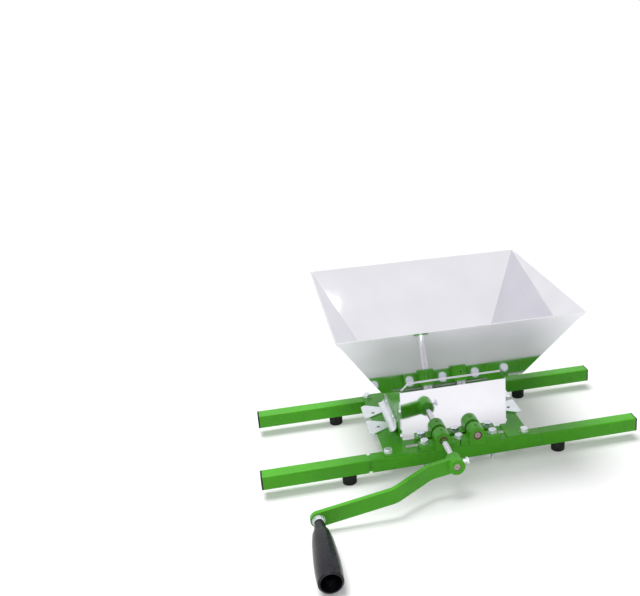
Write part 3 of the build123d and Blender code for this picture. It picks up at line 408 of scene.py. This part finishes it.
def greased_gear_steel(settings):
    """Machined gear steel, with grease lying in patches."""
    steel = settings.colours.gear_steel
    finish = Finish("greased_gear_steel", steel)
    grease = finish.band(finish.noise(7 * MM, detail=4, roughness=0.65), 0.44, 0.62)
    tool = finish.noise(0.9 * MM, detail=2, stretch=(6, 1, 6), seed=2.0)
    body = finish.blend(finish.spread(tool), shade(steel, 0.85), shade(steel, 1.2))
    edge = finish.edges(0.7 * MM)
    body = finish.blend(finish.times(edge, 0.7), body, shade(steel, 1.9))
    finish.set(
        Base_Color=finish.blend(finish.times(grease, 0.6), body, settings.colours.grease),
        Metallic=finish.band(grease, 0.0, 1.0, 1.0, 0.55),
        Roughness=finish.band(grease, 0.0, 1.0, 0.38, 0.2),
    )
    finish.relief(grease, 0.12 * MM, 0.3 * MM, 0.6)
    return finish.material


def cast_aluminium(settings):
    """Cast aluminium of the rollers: pitted skin with painted shade in its pits, brighter where
    fruit rubs it.
    """
    metal = settings.colours.aluminium
    finish = Finish("cast_aluminium", metal)
    skin = finish.noise(1.8 * MM, detail=5, roughness=0.7)
    cloud = finish.spread(finish.noise(22 * MM, detail=3, seed=2.0))
    body = finish.blend(cloud, shade(metal, 0.82), shade(metal, 1.05))
    # painted shade: the pits, the skin's low spots, are darkened towards 0.45 of the metal
    shaded_pits = finish.band(skin, 0.30, 0.42, 0.55, 0.0)
    body = finish.blend(shaded_pits, body, shade(metal, 0.45))
    edge = finish.edges(1.0 * MM)
    finish.set(
        Base_Color=finish.blend(finish.times(edge, 0.75), body, shade(metal, 1.3)),
        Metallic=1.0,
        Roughness=finish.band(finish.plus(shaded_pits, finish.times(cloud, 0.3)), 0.0, 0.7, 0.34, 0.6),
    )
    finish.relief(skin, 0.15 * MM, 0.6 * MM, 0.7)
    return finish.material


def soft_black(name, colour, grain, depth, roughness, dusting):
    """Black rubber or plastic with a moulded grain and paler, rubbed edges."""
    dusty, rubbed = (0.12, 0.115, 0.11), (0.12, 0.12, 0.125)
    finish = Finish(name, colour)
    dust = finish.band(finish.noise(14 * MM, detail=4, roughness=0.6), 0.4, 0.75, 0.0, dusting)
    body = finish.blend(dust, colour, tint(colour, dusty, 0.5))
    edge = finish.edges(0.8 * MM)
    body = finish.blend(finish.times(edge, 0.5), body, tint(colour, rubbed, 0.6))
    texture = finish.noise(grain, detail=3, roughness=0.6, seed=3.0)
    finish.set(
        Base_Color=body,
        Roughness=finish.spread(finish.noise(9 * MM, detail=3, seed=5.0), *roughness),
        IOR=1.33,
    )
    finish.relief(texture, depth, 0.5 * MM, 0.6)
    return finish.material


FINISHES = {
    "paint": powder_coat,
    "sheet": polished_sheet,
    "zinc": lambda s: zinc_plate(s, "zinc_plated_bolt", 1.4 * MM),
    "zinc_sheet": lambda s: zinc_plate(s, "zinc_plated_sheet", 3.5 * MM),
    "shaft": lambda s: ground_steel(s, "ground_shaft_steel", (1, 30, 1), (0.07, 0.16), 0.12),
    "ring": lambda s: ground_steel(s, "turned_spacer_steel", (1, 6, 1), (0.20, 0.34), 0.45),
    "pin": lambda s: ground_steel(s, "pin_steel", (1, 1, 6), (0.25, 0.4), 0.2),
    "bronze": bush_bronze,
    "gear": greased_gear_steel,
    "cast": cast_aluminium,
    "rubber": lambda s: soft_black(
        "black_foot_rubber", s.colours.rubber, 1.2 * MM, 0.08 * MM, (0.6, 0.8), 0.6
    ),
    "cap": lambda s: soft_black(
        "black_cap_plastic", s.colours.plastic, 0.9 * MM, 0.04 * MM, (0.38, 0.55), 0.4
    ),
    "grip": lambda s: soft_black(
        "black_grip_plastic", s.colours.grip, 3.0 * MM, 0.012 * MM, (0.24, 0.32), 0.08
    ),
}
_made = {}


def material(key, settings):
    """A finish of this object, made once."""
    if key not in _made:
        _made[key] = FINISHES[key](settings)
    return _made[key]


# ---------------------------------------------------------------- dressing and modelling
def dress(key, settings, *names):
    """Give CAD nodes a finish."""
    for name in names:
        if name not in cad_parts:
            raise RuntimeError(f"no CAD node is named {name}")
        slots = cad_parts[name].data.materials
        slots.clear()
        slots.append(material(key, settings))


def rail_end_nodes(kind):
    """The four rail ends' nodes of one kind."""
    return [f"{end}_{kind}" for end in RAIL_ENDS]


def corners(points):
    """Lowest and highest corner of the box round some points."""
    low = Vector([min(p[k] for p in points) for k in range(3)])
    high = Vector([max(p[k] for p in points) for k in range(3)])
    return low, high


def node_points(node):
    """The vertices of a CAD node's mesh."""
    return [vertex.co.copy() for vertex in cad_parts[node].data.vertices]


def upright_things(node, reach):
    """Corners of each upright thing in a CAD node; points within reach in plan belong together."""
    groups = []
    for point in node_points(node):
        for group in groups:
            if (point - group[0]).xy.length < reach:
                group.append(point)
                break
        else:
            groups.append([point])
    boxes = [corners(group) for group in groups]
    return sorted(boxes, key=lambda box: (round(box[0].y, 3), round(box[0].x, 3)))


def skin(bm, rings):
    """Closed faces round a stack of rings of points that have the same count."""
    rows = [[bm.verts.new(p) for p in ring] for ring in rings]
    count = len(rows[0])
    for upper, lower in zip(rows, rows[1:]):
        for k in range(count):
            ahead = (k + 1) % count
            bm.faces.new((upper[k], upper[ahead], lower[ahead], lower[k]))
    bm.faces.new(list(reversed(rows[0])))
    bm.faces.new(rows[-1])


def piece(name, bm, key, body, settings, smooth_angle=math.radians(32)):
    """Turn a bmesh into a named piece that rides on a body."""
    bmesh.ops.recalc_face_normals(bm, faces=bm.faces)
    mesh = bpy.data.meshes.new(name)
    bm.to_mesh(mesh)
    bm.free()
    mesh.materials.append(material(key, settings))
    mesh.shade_smooth()
    mesh.set_sharp_from_angle(angle=smooth_angle)
    made = bpy.data.objects.new(name, mesh)
    bpy.context.scene.collection.objects.link(made)
    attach(made, body)
    return made


def threaded_bolt(bm, low, high, across, diameter, head, settings):
    """Upright hexagon bolt with a chamfered head on top and a rolled thread on its lower end."""
    sides = 36
    rings_per_turn = 6
    pitch = settings.sizes.thread_pitch
    groove_depth = 0.58 * pitch
    run_in_length = 1.5 * pitch
    tip_length = 0.9 * pitch
    tip_chamfer = 0.9 * MM
    flat = across / 2
    crown = 0.93 * flat  # radius of the flat disc on top of the head
    washer_face = 0.97 * flat
    slope = math.tan(math.radians(30))
    shank = diameter / 2
    x, y = (low.x + high.x) / 2, (low.y + high.y) / 2
    angles = [2 * math.pi * k / sides for k in range(sides)]
    sixth = math.pi / 3
    hexagon = [flat / math.cos((a + sixth / 2) % sixth - sixth / 2) for a in angles]

    def ring(radii, heights):
        spokes = zip(angles, radii, heights)
        return [Vector((x + r * math.cos(a), y + r * math.sin(a), z)) for a, r, z in spokes]

    def level(radius, height):
        return ring([radius] * sides, [height] * sides)

    top = high.z
    seat = top - head
    start = low.z + min(settings.sizes.thread_length, 0.8 * (seat - low.z))
    rings = [
        level(crown, top),
        ring(hexagon, [top - (r - crown) * slope for r in hexagon]),
        ring(hexagon, [seat + (r - washer_face) * slope / 2 for r in hexagon]),
        level(washer_face, seat),
        level(shank, seat),
        level(shank, start),
    ]
    steps = max(rings_per_turn, int(round((start - low.z) / pitch * rings_per_turn)))
    for step in range(1, steps + 1):
        z = start + (low.z - start) * step / steps
        run_in = min(1.0, (start - z) / run_in_length)
        tip = max(0.0, 1 - (z - low.z) / tip_length)
        radii = []
        for a in angles:
            turn = (z / pitch - a / (2 * math.pi)) % 1.0
            groove = 1 - abs(2 * turn - 1)
            radii.append(shank - max(groove_depth * run_in * groove, tip_chamfer * tip))
        rings.append(ring(radii, [z] * sides))
    skin(bm, rings)


def weld_bead(bm, path, radius, sides=10):
    """Rippled round string along a path, thinner towards its two closed ends."""
    end_size, taper_rate = 0.35, 6
    ripples = ((0.16, 1.9, 0), (0.08, 0.63, 1))  # height, turn per point, start
    spokes = [2 * math.pi * n / sides for n in range(sides)]
    rings = []
    for k, point in enumerate(path):
        run = (path[min(k + 1, len(path) - 1)] - path[max(k - 1, 0)]).normalized()
        side = run.orthogonal().normalized()
        up = run.cross(side)
        share = k / (len(path) - 1)
        taper = min(1.0, taper_rate * min(share, 1 - share) + end_size)
        swell = 1 + sum(height * math.sin(k * turn + begin) for height, turn, begin in ripples)
        size = radius * taper * swell
        rings.append([point + size * (math.cos(a) * side + math.sin(a) * up) for a in spokes])
    skin(bm, rings)


# ---------------------------------------------------------------- operators
class ScratterStep:
    """What every operator here shares."""

    bl_options = {"REGISTER", "UNDO"}


class SCRATTER_OT_rails(ScratterStep, bpy.types.Operator):
    """Finish the rails' centre tubes, end tubes and inner sleeves"""

    bl_idname = "scratter.rails"
    bl_label = "Rails"

    def execute(self, context):
        settings = context.scene.scratter
        dress("paint", settings, "front_centre_tube", "rear_centre_tube")
        dress("paint", settings, *rail_end_nodes("end_tube"), *rail_end_nodes("sleeve"))
        return {"FINISHED"}


class SCRATTER_OT_rail_trim(ScratterStep, bpy.types.Operator):
    """Finish the end caps and the rubber feet"""

    bl_idname = "scratter.rail_trim"
    bl_label = "End Caps and Feet"

    def execute(self, context):
        settings = context.scene.scratter
        dress("cap", settings, *rail_end_nodes("end_cap"))
        dress("rubber", settings, *rail_end_nodes("foot"))
        return {"FINISHED"}


class SCRATTER_OT_side_frames(ScratterStep, bpy.types.Operator):
    """Finish the two side frames"""

    bl_idname = "scratter.side_frames"
    bl_label = "Side Frames"

    def execute(self, context):
        dress("paint", context.scene.scratter, "left_side_frame", "right_side_frame")
        return {"FINISHED"}


class SCRATTER_OT_hopper(ScratterStep, bpy.types.Operator):
    """Finish the hopper and its fixings"""

    bl_idname = "scratter.hopper"
    bl_label = "Hopper"

    def execute(self, context):
        settings = context.scene.scratter
        dress("sheet", settings, "hopper")
        dress("zinc", settings, "hopper_screws", "hopper_nuts")
        return {"FINISHED"}


class SCRATTER_OT_covers(ScratterStep, bpy.types.Operator):
    """Finish the front and rear covers, the guide plates and their screws"""

    bl_idname = "scratter.covers"
    bl_label = "Covers and Guide Plates"

    def execute(self, context):
        settings = context.scene.scratter
        dress("sheet", settings, "front_cover", "rear_cover")
        dress("sheet", settings, "left_guide_plate", "right_guide_plate")
        dress("zinc", settings, "cover_screws", "guide_plate_screws")
        return {"FINISHED"}


class SCRATTER_OT_ear_brackets(ScratterStep, bpy.types.Operator):
    """Finish the zinc-plated ear brackets and their rivets"""

    bl_idname = "scratter.ear_brackets"
    bl_label = "Ear Brackets"

    def execute(self, context):
        settings = context.scene.scratter
        dress("zinc_sheet", settings, "left_ear_bracket", "right_ear_bracket")
        dress("zinc", settings, "bracket_rivets")
        return {"FINISHED"}


class SCRATTER_OT_pillow_blocks(ScratterStep, bpy.types.Operator):
    """Finish the pillow blocks and the bushes in them"""

    bl_idname = "scratter.pillow_blocks"
    bl_label = "Pillow Blocks"

    def execute(self, context):
        settings = context.scene.scratter
        dress("paint", settings, *rail_end_nodes("pillow_block"))
        dress("bronze", settings, "bearing_bushes")
        return {"FINISHED"}


class SCRATTER_OT_shafts(ScratterStep, bpy.types.Operator):
    """Finish the shafts and their spacers"""

    bl_idname = "scratter.shafts"
    bl_label = "Shafts and Spacers"

    def execute(self, context):
        settings = context.scene.scratter
        dress("shaft", settings, "drive_shaft", "idler_shaft")
        dress("ring", settings, "drive_spacers", "idler_spacers")
        return {"FINISHED"}


class SCRATTER_OT_rollers(ScratterStep, bpy.types.Operator):
    """Finish the toothed rollers and their cross pins"""

    bl_idname = "scratter.rollers"
    bl_label = "Toothed Rollers"

    def execute(self, context):
        settings = context.scene.scratter
        dress("cast", settings, "drive_roller", "idler_roller")
        dress("pin", settings, "drive_roller_pins", "idler_roller_pins")
        return {"FINISHED"}


class SCRATTER_OT_gears(ScratterStep, bpy.types.Operator):
    """Finish the two gears and their grub screws"""

    bl_idname = "scratter.gears"
    bl_label = "Gears"

    def execute(self, context):
        settings = context.scene.scratter
        dress("gear", settings, "drive_gear", "idler_gear")
        dress("pin", settings, "drive_grub_screw", "idler_grub_screw")
        return {"FINISHED"}


class SCRATTER_OT_bolts(ScratterStep, bpy.types.Operator):
    """Model the threaded bolts of the blocks and the frame, and finish their washers"""

    bl_idname = "scratter.bolts"
    bl_label = "Threaded Bolts"

    diameter = 8.0 * MM
    head = 5.3 * MM
    across = 13.0 * MM
    apart = 25.0 * MM  # less than any two bolts are, and more than a head spans
    smooth_angle = math.radians(20)

    def execute(self, context):
        settings = context.scene.scratter
        for node in ("block_bolts", "frame_bolts"):
            bm = bmesh.new()
            for low, high in upright_things(node, self.apart):
                threaded_bolt(bm, low, high, self.across, self.diameter, self.head, settings)
            bolts = piece(
                f"threaded_{node}", bm, "zinc", "base", settings, self.smooth_angle
            )
            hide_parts(node)
        dress("zinc", settings, "bolt_washers")
        return {"FINISHED"}


class SCRATTER_OT_crank(ScratterStep, bpy.types.Operator):
    """Finish the crank's hub and arm, and model the weld between them"""

    bl_idname = "scratter.crank"
    bl_label = "Crank"

    arm_width = 25.0 * MM
    arm_thickness = 8.0 * MM
    arm_setback = 12.5 * MM  # from the hub's front face to the middle of the arm
    droop = math.radians(9.1)  # of the crank at rest, below the level
    bead_steps = 48

    def execute(self, context):
        settings = context.scene.scratter
        dress("paint", settings, "crank_hub", "crank_arm")
        dress("zinc", settings, "hub_set_bolt")
        low, high = corners(node_points("crank_hub"))
        axis = (low + high) / 2
        hub_radius = (high.x - low.x) / 2
        along = Vector((-math.cos(self.droop), 0, -math.sin(self.droop)))
        upright = Vector((-math.sin(self.droop), 0, math.cos(self.droop)))
        reach = math.asin(self.arm_width / 2 / hub_radius)
        turns = [reach * (2 * k / self.bead_steps - 1) for k in range(self.bead_steps + 1)]
        rim = [hub_radius * (math.cos(t) * along + math.sin(t) * upright) for t in turns]
        bm = bmesh.new()
        for face in (-1, 1):
            depth = low.y + self.arm_setback + face * self.arm_thickness / 2
            middle = Vector((axis.x, depth, axis.z))
            weld_bead(bm, [middle + point for point in rim], settings.sizes.weld_radius)
        piece("crank_weld", bm, "paint", "drive", settings)
        return {"FINISHED"}


class SCRATTER_OT_grip(ScratterStep, bpy.types.Operator):
    """Finish the grip with its spindle and nuts"""

    bl_idname = "scratter.grip"
    bl_label = "Grip"

    def execute(self, context):
        settings = context.scene.scratter
        dress("grip", settings, "grip")
        dress("zinc", settings, "grip_spindle", "spindle_nuts")
        return {"FINISHED"}


class SCRATTER_OT_studio(ScratterStep, bpy.types.Operator):
    """Lay the floor, hang the lights and set up the camera"""

    bl_idname = "scratter.studio"
    bl_label = "Studio"

    floor_half = 15.0
    floor_cells = 8
    floor_cloud = 0.35  # size of the floor's faint patches

    key_place = Vector((-0.20, 0.15, 1.2))
    key_target = Vector((0, 0, 0))
    panel_place = Vector((-0.7, -1.3, 1.5))
    panel_target = Vector((0, 0, 0.15))
    panel_size = (1.4, 0.9)

    picture = (640, 596)
    focal = 864.2  # in pixels of the picture
    centre = (435.3, 312.0)  # where the optical axis meets the picture
    target = Vector((-3.4, 0.0, 243.6)) * MM
    distance = 1510 * MM
    azimuth, elevation, roll = 0.2206, 0.3581, -0.04472
    sensor = 36.0  # width in millimetres, as Blender has it

    def execute(self, context):
        scene = context.scene
        scene.view_settings.view_transform = "Standard"
        studio = scene.scratter.studio
        self.lay_floor(scene, studio)
        self.fill_world(scene, studio)
        self.hang_lights(scene, studio)
        self.place_camera(scene)
        return {"FINISHED"}

    def lay_floor(self, scene, studio):
        bm = bmesh.new()
        cells = self.floor_cells
        bmesh.ops.create_grid(bm, x_segments=cells, y_segments=cells, size=self.floor_half)
        mesh = bpy.data.meshes.new("studio_floor")
        bm.to_mesh(mesh)
        bm.free()
        floor = bpy.data.objects.new("studio_floor", mesh)
        scene.collection.objects.link(floor)
        finish = Finish("studio_floor", studio.floor)
        cloud = finish.spread(finish.noise(self.floor_cloud, detail=2))
        finish.set(
            Base_Color=finish.blend(cloud, shade(studio.floor, 0.985), shade(studio.floor, 1.01)),
            Roughness=0.85,
            Emission_Color=(1, 1, 1, 1),
            Emission_Strength=finish.times(finish.looked_at(), studio.floor_glow),
        )
        mesh.materials.append(finish.material)

    def fill_world(self, scene, studio):
        """A world that is looked at as white and lights softly."""
        world = bpy.data.worlds.new("studio")
        scene.world = world
        world.use_nodes = True
        tree = NodeTree(world.node_tree)
        background = tree.add("ShaderNodeBackground")
        background.inputs["Color"].default_value = (1.0, 1.0, 1.0, 1.0)
        level = tree.band(tree.looked_at(), 0.0, 1.0, studio.sky, 1.0)
        tree.join(level, background.inputs["Strength"])
        output = tree.add("ShaderNodeOutputWorld")
        tree.join(background.outputs["Background"], output.inputs["Surface"])

    def hang_lights(self, scene, studio):
        sun = bpy.data.lights.new("key_light", "SUN")
        sun.energy = studio.key
        sun.angle = studio.key_angle
        hang(scene, sun, self.key_place, self.key_target)
        soft = bpy.data.lights.new("panel_light", "AREA")
        soft.shape = "RECTANGLE"
        soft.size, soft.size_y = self.panel_size
        soft.energy = studio.panel
        hang(scene, soft, self.panel_place, self.panel_target)

    def place_camera(self, scene):
        width, height = self.picture
        a, e, r = self.azimuth, self.elevation, self.roll
        ahead = Vector((math.sin(a) * math.cos(e), math.cos(a) * math.cos(e), -math.sin(e)))
        level = ahead.cross(UP).normalized()
        upright = level.cross(ahead)
        right = math.cos(r) * level + math.sin(r) * upright
        up = math.cos(r) * upright - math.sin(r) * level
        lens = bpy.data.cameras.new("photo_view")
        lens.sensor_fit = "HORIZONTAL"
        lens.sensor_width = self.sensor
        lens.lens = self.focal / width * self.sensor
        lens.shift_x = -(self.centre[0] - width / 2) / width
        lens.shift_y = (self.centre[1] - height / 2) / width
        camera = bpy.data.objects.new("photo_view", lens)
        spot = self.target - self.distance * ahead
        turn = Matrix((right, up, -ahead)).transposed().to_4x4()
        camera.matrix_world = Matrix.Translation(spot) @ turn
        scene.collection.objects.link(camera)
        scene.camera = camera


def hang(scene, light, place, target):
    """Hang a lamp at place, aimed at target."""
    lamp = bpy.data.objects.new(light.name, light)
    turn = (target - place).to_track_quat("-Z", "Y").to_matrix().to_4x4()
    lamp.matrix_world = Matrix.Translation(place) @ turn
    scene.collection.objects.link(lamp)


OPERATORS = (
    SCRATTER_OT_rails,
    SCRATTER_OT_rail_trim,
    SCRATTER_OT_side_frames,
    SCRATTER_OT_hopper,
    SCRATTER_OT_covers,
    SCRATTER_OT_ear_brackets,
    SCRATTER_OT_pillow_blocks,
    SCRATTER_OT_shafts,
    SCRATTER_OT_rollers,
    SCRATTER_OT_gears,
    SCRATTER_OT_bolts,
    SCRATTER_OT_crank,
    SCRATTER_OT_grip,
    SCRATTER_OT_studio,
)


class SCRATTER_PT_panel(bpy.types.Panel):
    """Lists the scratter's settings and steps"""

    bl_idname = "SCRATTER_PT_panel"
    bl_label = "Apple Scratter"
    bl_space_type = "VIEW_3D"
    bl_region_type = "UI"
    bl_category = "Scratter"

    def draw(self, context):
        layout = self.layout
        settings = context.scene.scratter
        for group in (settings.colours, settings.sizes, settings.studio):
            box = layout.box()
            for name in group.__annotations__:
                box.prop(group, name)
        steps = layout.column(align=True)
        for operator in OPERATORS:
            steps.operator(operator.bl_idname, text=operator.bl_label)


CLASSES = (
    ScratterColours,
    ScratterSizes,
    ScratterStudio,
    ScratterSettings,
    *OPERATORS,
    SCRATTER_PT_panel,
)


def register():
    for item in CLASSES:
        bpy.utils.register_class(item)
    bpy.types.Scene.scratter = PointerProperty(type=ScratterSettings)


def unregister():
    del bpy.types.Scene.scratter
    for item in reversed(CLASSES):
        bpy.utils.unregister_class(item)


def main():
    """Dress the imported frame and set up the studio."""
    register()
    for operator in OPERATORS:
        group, name = operator.bl_idname.split(".")
        getattr(getattr(bpy.ops, group), name)()


if __name__ == "__main__":
    main()
